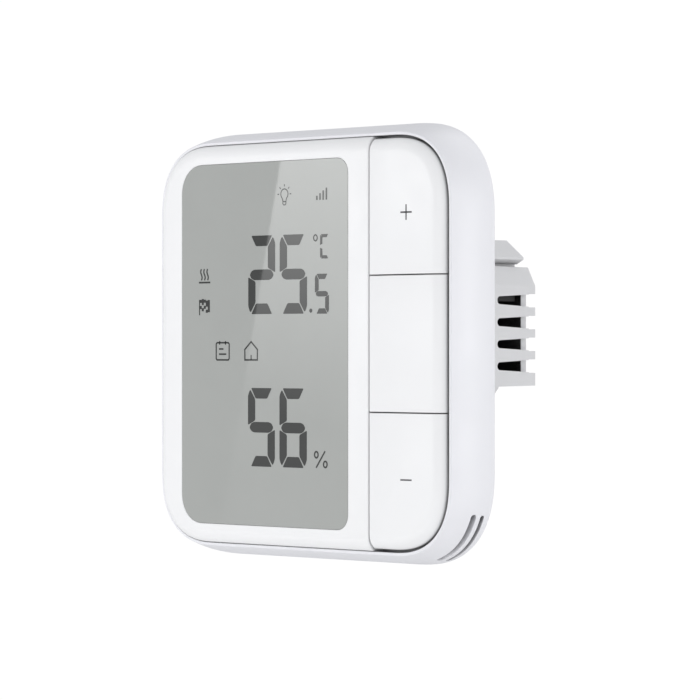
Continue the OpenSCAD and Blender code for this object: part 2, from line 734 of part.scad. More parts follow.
module terminal_block() color("gainsboro") difference() {
  slab(block_rear, block_front) block_outline();
  at_ways() {
    translate([0, terminal_top + cut, clamp_z]) rotate([90, 0, 0]) cylinder(r = wire_bore_r, h = terminal_top - screw_y);
    translate([0, screw_y, block_rear - cut]) cylinder(r = screw_bore_r, h = clamp_z - block_rear);
    translate([-clamp_w / 2 - 0.1, clamp_y0 - 0.1, clamp_z - clamp_deep / 2 - 0.1])
      cube([clamp_w + 0.2, clamp_y1 - clamp_y0 + 0.2, clamp_deep + 0.2]);
  }
}

module terminal_clamps() color("gold") at_ways() difference() {
  translate([-clamp_w / 2, clamp_y0, clamp_z - clamp_deep / 2]) cube([clamp_w, clamp_y1 - clamp_y0, clamp_deep]);
  translate([0, clamp_y1 + cut, clamp_z]) rotate([90, 0, 0]) cylinder(r = clamp_bore_r, h = clamp_y1 - clamp_y0 + 2 * cut);
  translate([0, screw_y, clamp_z - clamp_deep]) cylinder(r = terminal_screw_r + 0.05, h = clamp_deep);
}

module terminal_screws() color("silver") at_ways() translate([0, screw_y, 0]) {
  head_z = block_rear + 0.5;
  tip_z = clamp_z - clamp_bore_r - 0.1;
  difference() {
    translate([0, 0, head_z]) cylinder(r = screw_head_r, h = screw_head_t);
    translate([-screw_head_r - cut, -0.3, head_z - cut]) cube([2 * screw_head_r + 2 * cut, 0.6, cut + 0.8]);
  }
  translate([0, 0, head_z + screw_head_t - 0.01]) cylinder(r = terminal_screw_r, h = tip_z - head_z - screw_head_t);
}

on_wall() side_shell();
on_wall() front_cover();
on_wall() display_window();
on_wall() lcd_panel();
on_wall() light_guide();
on_wall() light_reflector();
on_wall() light_tray();
on_wall() contact_strip();
on_wall() inner_frame();
on_wall() key_plus();
on_wall() key_middle();
on_wall() key_minus();
on_wall() hinge_pins();
on_wall() switch_bodies();
on_wall() switch_covers();
on_wall() switch_domes();
on_wall() switch_stem_plus();
on_wall() switch_stem_middle();
on_wall() switch_stem_minus();
on_wall() main_board();
on_wall() board_screws();
on_wall() processor();
on_wall() radio_board();
on_wall() radio_shield();
on_wall() board_socket();
on_wall() board_header();
on_wall() header_pins();
on_wall() sensor_board();
on_wall() climate_sensor();
on_wall() sensor_baffle();
on_wall() base_plate();
on_wall() pod_screws();
on_wall() pod_housing();
on_wall() power_board();
on_wall() power_board_screws();
on_wall() relay();
on_wall() transformer_core();
on_wall() transformer_bobbin();
on_wall() capacitors();
on_wall() film_capacitor();
on_wall() varistor();
on_wall() fuse();
on_wall() terminal_block();
on_wall() terminal_clamps();
on_wall() terminal_screws();
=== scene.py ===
# %% [markdown]
# # A wall thermostat
# The object is a flared square faceplate with a flush grey display and three hinged keys, and
# behind it a slotted power unit that sinks into a wall box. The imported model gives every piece
# its size and place, so the first step loads it and keeps its box. Lengths below are in
# millimetres, and MM turns them into metres. X runs to the right, Y into the wall, Z up.

# %% Load the frame
import json
import math

import bmesh
import bpy
from mathutils import Matrix, Vector


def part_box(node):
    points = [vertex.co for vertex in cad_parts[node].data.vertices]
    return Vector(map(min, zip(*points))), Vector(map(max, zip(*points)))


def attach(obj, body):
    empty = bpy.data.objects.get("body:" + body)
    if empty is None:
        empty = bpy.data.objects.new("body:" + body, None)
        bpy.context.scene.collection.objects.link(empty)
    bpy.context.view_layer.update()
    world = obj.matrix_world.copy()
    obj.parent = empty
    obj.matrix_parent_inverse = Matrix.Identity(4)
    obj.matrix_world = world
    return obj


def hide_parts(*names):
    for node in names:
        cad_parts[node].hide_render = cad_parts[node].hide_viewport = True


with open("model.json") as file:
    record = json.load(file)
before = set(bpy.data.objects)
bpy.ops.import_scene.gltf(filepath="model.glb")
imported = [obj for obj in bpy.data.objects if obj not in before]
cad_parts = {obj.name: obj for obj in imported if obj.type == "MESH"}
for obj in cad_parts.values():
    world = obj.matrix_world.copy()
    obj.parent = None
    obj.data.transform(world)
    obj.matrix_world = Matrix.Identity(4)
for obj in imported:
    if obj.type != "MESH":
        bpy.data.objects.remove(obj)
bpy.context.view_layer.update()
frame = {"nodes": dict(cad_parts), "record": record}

MM = 0.001
scene = bpy.context.scene
record = frame["record"]

# %% [markdown]
# ## Sizes that every later step shares
# The boxes of the CAD nodes give the outside sizes: the shell's half width, the height of the
# seam and of the face above the wall, and where the keys meet the cover. A size that a box
# can't show, such as the width of a dome, is named in the step that uses it.

# %% Read the sizes
def box_mm(node):
    """A node's lowest and highest corners in millimetres."""
    low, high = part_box(node)
    return low / MM, high / MM


shell_low, shell_high = box_mm("side_shell")
cover_low, cover_high = box_mm("front_cover")
lens_low, lens_high = box_mm("display_window")
plate_half = shell_high.x
seam_depth = shell_low.y
face_depth = cover_low.y
ledge_depth = cover_high.y
key_seam = cover_high.x
COVER_GAP = 0.1
edge_inset = plate_half - cover_high.z - COVER_GAP
print(f"half width {plate_half:.2f}, seam {seam_depth:.2f}, face {face_depth:.2f}, keys from {key_seam:.2f}")

# %% [markdown]
# ## The outline
# Every part of the faceplate follows one rounded square. Its corners aren't plain arcs: they
# start early and turn gently, which is what makes the plate look soft. A grid with one face
# becomes that outline when its corners are bevelled, because a bevel's profile is a superellipse
# and a value a little over one half flattens its ends. Insets then give every parallel outline.

# %% A face with soft corners
CORNER_REACH = 17.5
CORNER_PROFILE = 0.571
CORNER_STEPS = 28


def flat_face(bm, half_x, half_z, depth, centre=(0, 0)):
    """One face towards the room, half_x by half_z from its centre, at a depth."""
    made = bmesh.ops.create_grid(bm, x_segments=1, y_segments=1, size=MM)["verts"]
    bmesh.ops.scale(bm, vec=(half_x, half_z, 1), verts=made)
    bmesh.ops.rotate(bm, cent=(0, 0, 0), matrix=Matrix.Rotation(math.pi / 2, 3, "X"), verts=made)
    bmesh.ops.translate(bm, vec=Vector((centre[0], depth, centre[1])) * MM, verts=made)
    return made[0].link_faces[0], made


def round_corners(bm, corners, reach, profile=0.5, steps=12):
    """Rounds the given corner vertices of a flat face."""
    bmesh.ops.bevel(bm, geom=corners, offset=reach * MM, offset_type="OFFSET", affect="VERTICES",
                    segments=steps, profile=profile, material=-1, clamp_overlap=False)


def facing(bm, direction):
    """The largest face that looks along a direction."""
    direction = Vector(direction)
    found = [f for f in bm.faces if f.normal.dot(direction) > 0.999]
    return max(found, key=lambda f: f.calc_area())


def follow(bm, face, path):
    """Steps a face inwards and outwards: each (inset, rise) adds one ring around it."""
    for inset, rise in path:
        bmesh.ops.inset_region(bm, faces=[face], thickness=inset * MM, depth=rise * MM,
                               use_even_offset=True, use_boundary=True)
    return face


def back_to_back(bm, front):
    """Adds a rear face at a front face, to be moved back later."""
    copy = bmesh.ops.duplicate(bm, geom=[front])["geom"]
    rear = [g for g in copy if isinstance(g, bmesh.types.BMFace)][0]
    bmesh.ops.reverse_faces(bm, faces=[rear])
    bm.normal_update()
    return rear


def plate_blank(inset, depth):
    """The faceplate's outline at an inset, as a front face and a rear face back to back."""
    bm = bmesh.new()
    _, corners = flat_face(bm, plate_half, plate_half, depth)
    round_corners(bm, corners, CORNER_REACH, CORNER_PROFILE, CORNER_STEPS)
    front = facing(bm, (0, -1, 0))
    if inset:
        rings = bmesh.ops.inset_region(bm, faces=[front], thickness=inset * MM, use_even_offset=True,
                                       use_boundary=True)["faces"]
        bmesh.ops.delete(bm, geom=rings, context="FACES")
    return bm, front, back_to_back(bm, front)


def weld(bm):
    """Joins rings that meet and turns every face outwards."""
    bmesh.ops.remove_doubles(bm, verts=bm.verts, dist=0.002 * MM)
    bmesh.ops.recalc_face_normals(bm, faces=bm.faces)


# %% [markdown]
# ## From a bmesh to a piece
# A finished piece gets smooth shading with sharp edges kept, a material, the body it rides on,
# and the CAD nodes that it stands for. A Boolean cut is used for openings through a curved
# wall, where no ring of faces would follow both shapes.

# %% Helpers that finish a piece
SHARP = math.radians(38)


def make_piece(name, bm, edge=0.0, edge_steps=2):
    """Makes an object from a bmesh, with an optional small round on its sharp edges."""
    mesh = bpy.data.meshes.new(name)
    bm.to_mesh(mesh)
    bm.free()
    for polygon in mesh.polygons:
        polygon.use_smooth = True
    mesh.set_sharp_from_angle(angle=SHARP)
    piece = bpy.data.objects.new(name, mesh)
    scene.collection.objects.link(piece)
    if edge:
        round_edges(piece, edge, edge_steps)
    return piece


def round_edges(piece, width, steps=2, clamp=True):
    """Rounds a piece's sharp edges a little, so that they catch the light."""
    bevel = piece.modifiers.new("small_rounds", "BEVEL")
    bevel.width = width * MM
    bevel.segments = steps
    bevel.limit_method = "ANGLE"
    bevel.angle_limit = SHARP
    bevel.use_clamp_overlap = clamp
    bevel.harden_normals = False


def settle(piece):
    """Applies a piece's modifiers to its mesh."""
    bpy.context.view_layer.update()
    graph = bpy.context.evaluated_depsgraph_get()
    mesh = bpy.data.meshes.new_from_object(piece.evaluated_get(graph))
    piece.modifiers.clear()
    piece.data = mesh
    mesh.set_sharp_from_angle(angle=SHARP)


def cut_out(piece, cutter_bm):
    """Takes a closed shape out of a piece."""
    cutter = make_piece("cutter", cutter_bm)
    cut = piece.modifiers.new("cut", "BOOLEAN")
    cut.operation = "DIFFERENCE"
    cut.solver = "EXACT"
    cut.object = cutter
    settle(piece)
    bpy.data.objects.remove(cutter)


def place(piece, finish, body, slot, *nodes):
    """Gives a piece its finish, its body and the CAD nodes it stands for."""
    piece.data.materials.clear()
    piece.data.materials.append(finish)
    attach(piece, body)
    if nodes:
        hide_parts(*nodes)
    print(f"{piece.name}: {len(piece.data.polygons)} faces on {body}")
    return piece


# %% [markdown]
# ## Finishes
# Moulded plastic is never one flat colour. It has a fine spark-eroded grain that breaks up the
# highlights, a roughness that drifts where the mould was polished or touched, and a tint that
# varies by a percent or two. One function makes all the plain finishes from three noises, and
# each finish gives its own colour, grain size, grain height and drift. A finish for a piece with
# narrow gaps or deep slots can also get painted shade: an ambient occlusion mask darkens its
# colour in them, standing in for the shade that falls there.

# %% A function for moulded and metal finishes
def noise(tree, scale, detail=3.0, rough=0.5):
    """A noise on Object coordinates; scale is in features per metre."""
    coords = tree.nodes.new("ShaderNodeTexCoord")
    tex = tree.nodes.new("ShaderNodeTexNoise")
    tex.inputs["Scale"].default_value = scale
    tex.inputs["Detail"].default_value = detail
    tex.inputs["Roughness"].default_value = rough
    tree.links.new(coords.outputs["Object"], tex.inputs["Vector"])
    return tex.outputs["Fac"]


def ramp(tree, value, low, high, low_colour, high_colour):
    """A two-stop colour ramp."""
    node = tree.nodes.new("ShaderNodeValToRGB")
    node.color_ramp.elements[0].position = low
    node.color_ramp.elements[1].position = high
    node.color_ramp.elements[0].color = (*low_colour, 1)
    node.color_ramp.elements[1].color = (*high_colour, 1)
    tree.links.new(value, node.inputs["Fac"])
    return node.outputs["Color"]


def map_range(tree, value, from_low, from_high, to_low, to_high=1.0):
    """Maps one range of a value onto another, and holds it at their ends."""
    node = tree.nodes.new("ShaderNodeMapRange")
    node.inputs["From Min"].default_value = from_low
    node.inputs["From Max"].default_value = from_high
    node.inputs["To Min"].default_value = to_low
    node.inputs["To Max"].default_value = to_high
    tree.links.new(value, node.inputs["Value"])
    return node.outputs["Result"]


def multiply(tree, colour, share):
    """Multiplies a colour by a value."""
    node = tree.nodes.new("ShaderNodeMix")
    node.data_type = "RGBA"
    node.blend_type = "MULTIPLY"
    node.inputs["Factor"].default_value = 1.0
    tree.links.new(colour, node.inputs["A"])
    tree.links.new(share, node.inputs["B"])
    return node.outputs["Result"]


def paint_gap_shade(tree, colour, reach, low, high, darkest):
    """Paints shade into a colour in narrow gaps and hollows, where little light returns."""
    open_sky = tree.nodes.new("ShaderNodeAmbientOcclusion")
    open_sky.inputs["Distance"].default_value = reach * MM
    return multiply(tree, colour, map_range(tree, open_sky.outputs["AO"], low, high, darkest))


TINT_SCALE, DRIFT_SCALE = 70, 180


def finish(name, colour, roughness, drift=0.05, tint=0.02, grain=2500, height=0.004, gap_shade=None,
           **constants):
    """A moulded finish: tint, roughness and grain from three noises, with painted shade in narrow gaps if asked
    for.
    """
    material = bpy.data.materials.new(name)
    material.use_nodes = True
    tree = material.node_tree
    shader = tree.nodes["Principled BSDF"]
    darker = [c * (1 - tint) for c in colour]
    lighter = [min(1, c * (1 + tint)) for c in colour]
    tinted = ramp(tree, noise(tree, TINT_SCALE, 4), 0.35, 0.65, darker, lighter)
    # painted shade in narrow gaps, when a finish asks for it
    if gap_shade:
        tinted = paint_gap_shade(tree, tinted, *gap_shade)
    tree.links.new(tinted, shader.inputs["Base Color"])
    drifting = map_range(tree, noise(tree, DRIFT_SCALE, 5), 0.3, 0.7, roughness - drift, roughness + drift)
    tree.links.new(drifting, shader.inputs["Roughness"])
    bump = tree.nodes.new("ShaderNodeBump")
    bump.inputs["Strength"].default_value = 1.0
    bump.inputs["Distance"].default_value = height * MM
    tree.links.new(noise(tree, grain, 2), bump.inputs["Height"])
    tree.links.new(bump.outputs["Normal"], shader.inputs["Normal"])
    for socket, value in constants.items():
        shader.inputs[socket.replace("_", " ")].default_value = value
    return material


finishes = {
    # The shell's white gets painted shade in narrow gaps, such as inside its lip and in its vents.
    "shell_white": finish("shell_white", (0.80, 0.80, 0.83), 0.42, tint=0.008, grain=2600, height=0.006,
                          gap_shade=(1.6, 0.3, 0.85, 0.3)),
    "cover_white": finish("cover_white", (0.86, 0.86, 0.865), 0.34, tint=0.006, grain=3200, height=0.003),
    "display_lens": finish("display_lens", (0.37, 0.38, 0.365), 0.5, tint=0.012, grain=900, height=0.0002,
                           Coat_Weight=1.0, Coat_Roughness=0.015, Coat_IOR=1.5, Specular_IOR_Level=0.1),
    "display_glass": finish("display_glass", (0.55, 0.58, 0.54), 0.12, tint=0.02, height=0.0004),
    "diffuser": finish("diffuser", (0.78, 0.82, 0.84), 0.2, tint=0.02, grain=1500, height=0.004),
    "inner_white": finish("inner_white", (0.72, 0.72, 0.69), 0.45, tint=0.02, grain=2000, height=0.008),
    "contact_rubber": finish("contact_rubber", (0.045, 0.045, 0.05), 0.75, tint=0.2, grain=1800, height=0.02),
    "steel": finish("steel", (0.55, 0.55, 0.57), 0.28, tint=0.05, grain=3000, height=0.003, Metallic=1.0),
    "black_plastic": finish("black_plastic", (0.018, 0.018, 0.02), 0.5, tint=0.15, grain=2600, height=0.01),
    "gold_plate": finish("gold_plate", (0.78, 0.55, 0.22), 0.25, tint=0.05, height=0.002, Metallic=1.0),
    "foam_grey": finish("foam_grey", (0.09, 0.09, 0.095), 0.9, tint=0.2, grain=1500, height=0.12),
    # The unit's grey gets painted shade that reaches deep into its slots and hollows.
    "pod_grey": finish("pod_grey", (0.64, 0.64, 0.65), 0.5, tint=0.015, grain=2400, height=0.012,
                       gap_shade=(25, 0.22, 0.42, 0.04)),
    "part_blue": finish("part_blue", (0.02, 0.09, 0.30), 0.35, tint=0.06, height=0.004),
    "ferrite": finish("ferrite", (0.035, 0.035, 0.038), 0.65, tint=0.15, grain=2200, height=0.03),
    "tape_yellow": finish("tape_yellow", (0.66, 0.42, 0.05), 0.3, tint=0.06, grain=1200, height=0.006),
    "can_sleeve": finish("can_sleeve", (0.03, 0.035, 0.045), 0.3, tint=0.1, height=0.004),
    "film_body": finish("film_body", (0.52, 0.36, 0.08), 0.35, tint=0.05, height=0.006),
    "fuse_body": finish("fuse_body", (0.60, 0.45, 0.25), 0.35, tint=0.08, height=0.006),
}
print("finishes", len(finishes))

# %% [markdown]
# ## Circuit boards
# Solder mask lies over etched copper, so a board shows slightly lighter tracks in its green. A
# brick pattern gives tracks that run along and across the board. Its grain is that of the other
# finishes.

# %% The board finish
def board_finish():
    """Green solder mask with lighter tracks."""
    material = finish("circuit_board", (0.012, 0.11, 0.045), 0.32, tint=0.1, height=0.004)
    tree = material.node_tree
    shader = tree.nodes["Principled BSDF"]
    coords = tree.nodes.new("ShaderNodeTexCoord")
    tracks = tree.nodes.new("ShaderNodeTexBrick")
    turn = tree.nodes.new("ShaderNodeMapping")
    turn.inputs["Rotation"].default_value = (math.pi / 2, 0, 0)
    tree.links.new(coords.outputs["Object"], turn.inputs["Vector"])
    tree.links.new(turn.outputs["Vector"], tracks.inputs["Vector"])
    tracks.inputs["Scale"].default_value = 260
    tracks.inputs["Mortar Size"].default_value = 0.06
    tracks.inputs["Color1"].default_value = (0.010, 0.095, 0.04, 1)
    tracks.inputs["Color2"].default_value = (0.014, 0.12, 0.05, 1)
    tracks.inputs["Mortar"].default_value = (0.03, 0.20, 0.09, 1)
    tree.links.new(tracks.outputs["Color"], shader.inputs["Base Color"])
    return material


finishes["circuit_board"] = board_finish()
print("board finish made")

# %% [markdown]
# ## The side shell
# The shell is one moulding. From a rounded foot at the wall its flank leans in along a large
# arc up to a narrow lip, and inside the lip it drops to a ledge that carries the cover. The
# corners are rounder at the widest level than at the lip, so the flank is a loft: one outline
# for each level, and a bridge from each to the next. The lip and the ledge are insets of the
# last outline, and one more bridge closes the rear between the foot and the cavity.

# %% A loft of outlines
FOOT_R, FOOT_STEPS, FLANK_STEPS = 1.5, 6, 12
LIP, SHELL_WALL = 0.6, 1.5
LIP_OUTER = [(0.04, 0.10), (0.06, 0.07), (0.08, 0.04), (0.09, 0.01)]
LIP_INNER = [(0.07, -0.03), (0.05, -0.09)]
SEAM = -seam_depth
LEDGE = -ledge_depth
WIDE_REACH, WIDE_PROFILE = 18.8, 0.568


def outline(bm, inset, height, reach, profile):
    """Adds one outline at a height above the wall and gives its edges and its face."""
    before = set(bm.edges)
    half = plate_half - inset
    _, corners = flat_face(bm, half, half, -height)
    round_corners(bm, corners, reach, profile, CORNER_STEPS)
    edges = [e for e in bm.edges if e not in before]
    return edges, edges[0].link_faces[0]


lean = edge_inset - LIP
rise = SEAM - FOOT_R
flank_r = (lean**2 + rise**2) / (2 * lean)
lip_round = sum(up for _, up in LIP_OUTER)
flank_end = math.asin((rise - lip_round) / flank_r)
levels = []
for step in range(FOOT_STEPS + 1):
    turn = math.pi / 2 * step / FOOT_STEPS
    levels.append((FOOT_R * (1 - math.sin(turn)), FOOT_R * (1 - math.cos(turn))))
for step in range(1, FLANK_STEPS + 1):
    turn = flank_end * step / FLANK_STEPS
    levels.append((flank_r * (1 - math.cos(turn)), FOOT_R + flank_r * math.sin(turn)))
bm = bmesh.new()
last = None
for inset, height in levels:
    share = max(0, height - FOOT_R) / (levels[-1][1] - FOOT_R)
    reach = WIDE_REACH - (inset if share == 0 else share * (WIDE_REACH - CORNER_REACH + inset))
    profile = WIDE_PROFILE + share * (CORNER_PROFILE - WIDE_PROFILE)
    edges, front = outline(bm, inset, height, reach, profile)
    if inset != levels[-1][0]:
        bmesh.ops.delete(bm, geom=[front], context="FACES_ONLY")
    if last:
        bmesh.ops.bridge_loops(bm, edges=last + edges)
    last = edges
lip_flat = edge_inset - levels[-1][0] - sum(inwards for inwards, _ in LIP_OUTER + LIP_INNER)
inner_drop = -sum(up for _, up in LIP_INNER)
follow(bm, front, LIP_OUTER + [(lip_flat, 0)] + LIP_INNER)
follow(bm, front, [(0, LEDGE - SEAM + inner_drop), (SHELL_WALL, 0), (0, -LEDGE)])
bmesh.ops.delete(bm, geom=[front], context="FACES_ONLY")
bmesh.ops.bridge_loops(bm, edges=[e for e in bm.edges if e.is_boundary])
weld(bm)
print("shell faces", len(bm.faces), "open edges", sum(e.is_boundary for e in bm.edges))
side_shell = make_piece("moulded_side_shell", bm)

# %% [markdown]
# ## The sensor vents
# Two curved slots wrap the lower right corner, where warm or cold room air reaches the sensor.
# A flat bar spun round the corner's centre cuts a slot of even height, and a short round bar
# at each end gives it the round ends of a cutter or a mould pin.

# %% Cut the vents
CORNER_R = 14.6
VENTS = [(4.55, 1.3), (2.5, 1.0)]
VENT_START, VENT_END = -20.5, -72
VENT_MIDDLE, VENT_REACH = 13, 4
corner = Vector((plate_half - CORNER_R, 0, CORNER_R - plate_half)) * MM


def swing(cutter, verts, low, height, turn):
    """Moves a cutter out to a vent's height and turns it round the corner's centre."""
    bmesh.ops.translate(cutter, vec=Vector((VENT_MIDDLE, -low - height / 2, 0)) * MM, verts=verts)
    about_y = Matrix.Rotation(math.radians(-turn), 3, "Y")
    bmesh.ops.rotate(cutter, cent=(0, 0, 0), matrix=about_y, verts=verts)


def vent_bar(low, height):
    """A flat bar, bent round the faceplate's corner."""
    cutter = bmesh.new()
    _, verts = flat_face(cutter, VENT_REACH, height / 2, 0)
    bmesh.ops.rotate(cutter, cent=(0, 0, 0), matrix=Matrix.Rotation(-math.pi / 2, 3, "X"), verts=verts)
    swing(cutter, verts, low, height, VENT_START)
    bmesh.ops.spin(cutter, geom=cutter.faces[:], cent=(0, 0, 0), axis=(0, 1, 0),
                   angle=math.radians(VENT_START - VENT_END), steps=24, use_merge=False, use_duplicate=False)
    weld(cutter)
    return cutter


def vent_end(low, height, turn):
    """A round bar that points out from the corner's centre."""
    cutter = bmesh.new()
    verts = bmesh.ops.create_cone(cutter, cap_ends=True, segments=20, radius1=height / 2 * MM,
                                  radius2=height / 2 * MM, depth=2 * VENT_REACH * MM)["verts"]
    bmesh.ops.rotate(cutter, cent=(0, 0, 0), matrix=Matrix.Rotation(math.pi / 2, 3, "Y"), verts=verts)
    swing(cutter, verts, low, height, turn)
    return cutter


for vent in VENTS:
    for cutter in (vent_bar(*vent), vent_end(*vent, VENT_START), vent_end(*vent, VENT_END)):
        bmesh.ops.translate(cutter, vec=corner, verts=cutter.verts)
        cut_out(side_shell, cutter)
place(side_shell, finishes["shell_white"], "housing", "shell_white", "side_shell")

# %% [markdown]
# ## The domed face
# The cover and the keys look like one sheet that was cut apart: a flat face whose border falls
# away in an arc. So one function makes the whole domed blank at a given inset, cuts it with
# planes, closes the cuts and rounds the edges that they leave. The cover keeps what lies left of
# the keys, and each key keeps its own tile.

# %% A domed blank, cut by planes
DOME_W = 2.7
DOME_DROP = 1.5
DOME_R = (DOME_W**2 + DOME_DROP**2) / (2 * DOME_DROP)


def domed_blank(inset, bottom):
    """The domed plate at an inset from the widest outline, down to a height above the wall."""
    bm, front, rear = plate_blank(inset, seam_depth)
    start = 90 - math.degrees(math.asin(DOME_W / DOME_R))
    steps = 10
    points = []
    for i in range(steps + 1):
        a = math.radians(start + (90 - start) * i / steps)
        points.append((DOME_W - DOME_R * math.cos(a), DOME_R * math.sin(a) - (DOME_R - DOME_DROP)))
    follow(bm, front, [(b[0] - a[0], b[1] - a[1]) for a, b in zip(points, points[1:])])
    follow(bm, rear, [(0, SEAM - bottom)])
    weld(bm)
    return bm


def keep_side(bm, point, direction):
    """Cuts along a plane, keeps what lies along direction, and closes the cut."""
    cut = bmesh.ops.bisect_plane(bm, geom=bm.verts[:] + bm.edges[:] + bm.faces[:], dist=1e-7,
                                 plane_co=Vector(point) * MM, plane_no=-Vector(direction),
                                 clear_outer=True)["geom_cut"]
    rim = [g for g in cut if isinstance(g, bmesh.types.BMEdge)]
    bmesh.ops.holes_fill(bm, edges=rim, sides=0)
    bm.normal_update()


def round_cut(bm, axis, at, above, width):
    """Rounds the outer edges of a cut face, above a given height."""
    on_cut = [e for e in bm.edges
              if all(abs(v.co[axis] / MM - at) < 1e-3 and -v.co.y / MM > above for v in e.verts)
              and any(abs(f.normal[axis]) < 0.9 for f in e.link_faces)]
    bmesh.ops.bevel(bm, geom=on_cut, offset=width * MM, offset_type="OFFSET", affect="EDGES",
                    segments=3, profile=0.5, material=-1, clamp_overlap=False)
    bm.normal_update()


def hollow(bm, wall, up):
    """Hollows a plate from behind."""
    rear = facing(bm, (0, 1, 0))
    follow(bm, rear, [(wall, 0), (0, -up)])
    return rear


# %% [markdown]
# ## The front cover
# The cover is the domed blank left of the keys, hollow behind, with a skirt that stands on the
# shell's ledge and an opening for the display. The opening has wide corners on the outer side
# and tight ones beside the keys.

# %% The cover and its opening
WINDOW_R_LEFT, WINDOW_R_RIGHT, WINDOW_PROFILE, FLANGE = 6.0, 3.2, 0.52, 1.0
window_left, window_right, window_top = lens_low.x + FLANGE, lens_high.x - FLANGE, lens_high.z - FLANGE


def window_slab(grow, top, bottom):
    """A slab of the display opening's outline between two heights above the wall."""
    slab = bmesh.new()
    half_x = (window_right - window_left) / 2
    middle_x = (window_right + window_left) / 2
    _, corners = flat_face(slab, half_x + grow, window_top + grow, -top, (middle_x, 0))
    left = [v for v in corners if v.co.x < middle_x * MM]
    right = [v for v in corners if v not in left]
    round_corners(slab, left, WINDOW_R_LEFT + grow, WINDOW_PROFILE, 16)
    round_corners(slab, right, WINDOW_R_RIGHT + grow, WINDOW_PROFILE, 12)
    follow(slab, back_to_back(slab, facing(slab, (0, -1, 0))), [(0, top - bottom)])
    weld(slab)
    return slab


FACE = -face_depth
COVER_WALL, COVER_FACE, OPENING_ROUND = 1.4, 1.5, 0.07
bm = domed_blank(edge_inset + COVER_GAP, LEDGE)
keep_side(bm, (key_seam, 0, 0), (-1, 0, 0))
round_cut(bm, 0, key_seam, LEDGE + 0.1, 0.28)
hollow(bm, COVER_WALL, FACE - COVER_FACE - LEDGE)
cover = make_piece("domed_front_cover", bm)
cut_out(cover, window_slab(0.0, FACE + 1, LEDGE - 1))
round_edges(cover, OPENING_ROUND)
place(cover, finishes["cover_white"], "housing", "cover_white", "front_cover")

# %% [markdown]
# ## The three keys
# Each key is a tile of the same blank, a little smaller all round, so a gap shows between the
# keys and the shell, kept dark by painted shade in the keys' finish. It is hollow behind, and
# open along the display side, where a hinge barrel hangs from its face on a web. A pusher stands
# over its switch and stops just above the stem. The barrel and the pusher are turned shapes,
# made by a full spin.

# %% Turned shapes
def turned(bm, points, centre, axis):
    """Spins a closed (radius, along) profile once round an axis through a centre, in millimetres."""
    verts = [bm.verts.new(Vector((r, 0, h)) * MM) for r, h in points]
    edges = [bm.edges.new((a, b)) for a, b in zip(verts, verts[1:] + verts[:1])]
    bmesh.ops.spin(bm, geom=verts + edges, cent=(0, 0, 0), axis=(0, 0, 1),
                   angle=math.tau, steps=32, use_merge=True, use_duplicate=False)
    linked, stack = set(verts), list(verts)
    while stack:
        for edge in stack.pop().link_edges:
            for vert in edge.verts:
                if vert not in linked:
                    linked.add(vert)
                    stack.append(vert)
    turn = Vector((0, 0, 1)).rotation_difference(Vector(axis)).to_matrix()
    bmesh.ops.rotate(bm, cent=(0, 0, 0), matrix=turn, verts=list(linked))
    bmesh.ops.translate(bm, vec=Vector(centre) * MM, verts=list(linked))


def box_between(bm, x_span, height_span, z_span):
    """A box between two values along x, in height above the wall, and along z."""
    spans = (x_span, (-height_span[1], -height_span[0]), z_span)
    verts = bmesh.ops.create_cube(bm, size=MM)["verts"]
    bmesh.ops.scale(bm, vec=[high - low for low, high in spans], verts=verts)
    bmesh.ops.translate(bm, vec=Vector([(low + high) / 2 for low, high in spans]) * MM, verts=verts)
    return bm


# %% The plus and the minus
MARK_X, MARK_LEN, MARK_W, MARK_DEEP = 30.45, 3.0, 0.32, 0.15
mark_at = {"key_plus": 25.23, "key_minus": -26.13}


def mark_bar(half_x, half_z, z, top, bottom):
    """A small bar in a key's face."""
    bm = bmesh.new()
    face, _ = flat_face(bm, half_x, half_z, -top, (MARK_X, z))
    follow(bm, back_to_back(bm, face), [(0, top - bottom)])
    weld(bm)
    return bm


def key_mark(node, top, bottom):
    """The bars of a key's plus or minus, between two heights above the wall."""
    lying, upright = (MARK_LEN / 2, MARK_W / 2), (MARK_W / 2, MARK_LEN / 2)
    bars = [lying, upright] if node == "key_plus" else [lying]
    return [mark_bar(*bar, mark_at[node], top, bottom) for bar in bars]


# %% The keys
pin_low, pin_high = box_mm("hinge_pins")
hinge_x = (pin_low.x + pin_high.x) / 2
hinge_depth = (pin_low.y + pin_high.y) / 2
KEY_WALL, KEY_FACE, KEY_RISE, SEAM_ROUND, SPLIT_ROUND = 1.2, 1.4, 0.8, 0.28, 0.2
BARREL_R, BORE_R, BARREL_HALF = 1.05, 0.56, 8.0
SWITCH_ARM, PUSHER_R, PUSHER_TIP_R, PUSHER_FOOT_R, PUSHER_GAP = 9.2, 0.5, 0.35, 1.2, 0.05
key_bottom = LEDGE + KEY_RISE
key_under = FACE - KEY_FACE
key_inset = plate_half - box_mm("key_plus")[1].x
# The keys' white is the cover's white with painted shade in the gaps around them.
key_white_gap_shaded = finish("key_white_gap_shaded", (0.86, 0.86, 0.865), 0.34, tint=0.006, grain=3200, height=0.003,
                   gap_shade=(1.2, 0.32, 0.66, 0.3))
key_names = {"key_plus": "plus_key", "key_middle": "middle_key", "key_minus": "minus_key"}


